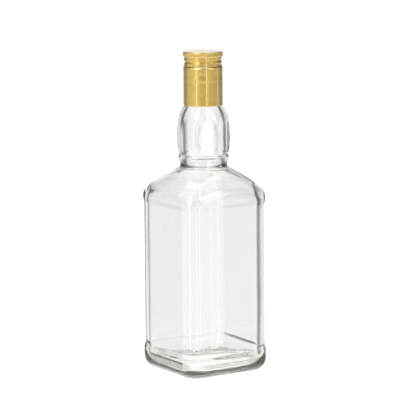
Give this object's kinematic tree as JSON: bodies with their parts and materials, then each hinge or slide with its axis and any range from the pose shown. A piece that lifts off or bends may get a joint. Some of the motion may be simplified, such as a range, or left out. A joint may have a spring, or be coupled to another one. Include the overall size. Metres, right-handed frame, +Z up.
{
  "type": "square glass spirits bottle",
  "caption": "Square clear glass spirits bottle, about 700 ml, with recessed label panels, a fluted bulb neck and a gold roll-on screw cap.",
  "frame": {"origin": "centre of the base, on the plane the bottle stands on", "axes": "+Z up along the neck; X and Y square to the four label panels"},
  "size_m": [0.0776, 0.0776, 0.256],
  "materials": {
    "clear_glass": "polished",
    "gold_lacquer": "satin gold lacquer",
    "liner_foam": "matte"
  },
  "bodies": {
    "bottle": {"glass_bottle": "clear_glass", "cap_sleeve": "gold_lacquer"},
    "liner": {"cap_liner": "liner_foam"},
    "cap": {"cap_shell": "gold_lacquer"}
  },
  "joints": [
    {"name": "cap_lift", "type": "slide", "parent": "bottle", "child": "liner", "axis": [0, 0, 1], "range_m": [0, 0.00961]},
    {"name": "cap_turn", "type": "hinge", "parent": "liner", "child": "cap", "pos_m": [0, 0, 0.2535], "axis": [0, 0, 1], "range_deg": [0, 1080]}
  ],
  "couplings": [
    {"joint": "cap_lift", "follows": "cap_turn", "m_per_rad": 0.0005093}
  ]
}
